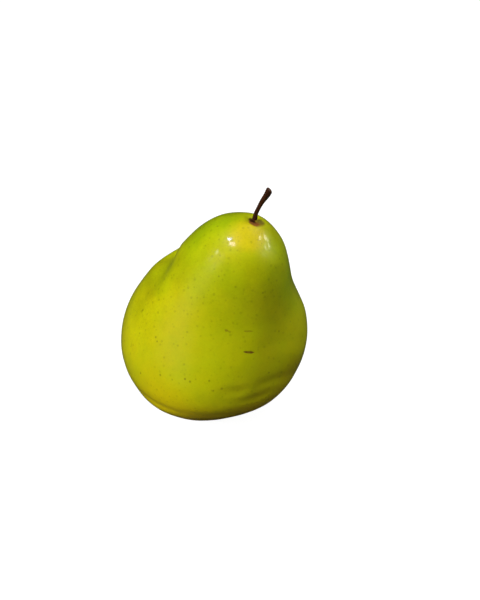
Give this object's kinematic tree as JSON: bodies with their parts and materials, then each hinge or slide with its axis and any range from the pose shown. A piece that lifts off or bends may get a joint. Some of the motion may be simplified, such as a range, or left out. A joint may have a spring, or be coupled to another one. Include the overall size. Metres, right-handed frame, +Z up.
{
  "type": "pear",
  "caption": "Fresh yellow-green pear with a leaning neck, a short woody stem and a dried calyx in its base, resting on a small flat spot.",
  "frame": {"origin": "bottom centre of the box round the whole pear, stem included; z = 0 is the flat spot that it rests on", "axes": "+Z up, towards the stem; +X to the right, the way the neck and stem lean; -Y towards the side with the two small scars"},
  "size_m": [0.079, 0.0768, 0.1028],
  "materials": {
    "skin": "smooth waxy skin, semi-gloss, with fine lenticels",
    "stem_wood": "dry bark, matt to satin",
    "dried_calyx": "dry and brittle, matt"
  },
  "bodies": {
    "root": {"pear_fruit": "skin", "pear_stem": "stem_wood", "pear_calyx": "dried_calyx"}
  },
  "joints": []
}
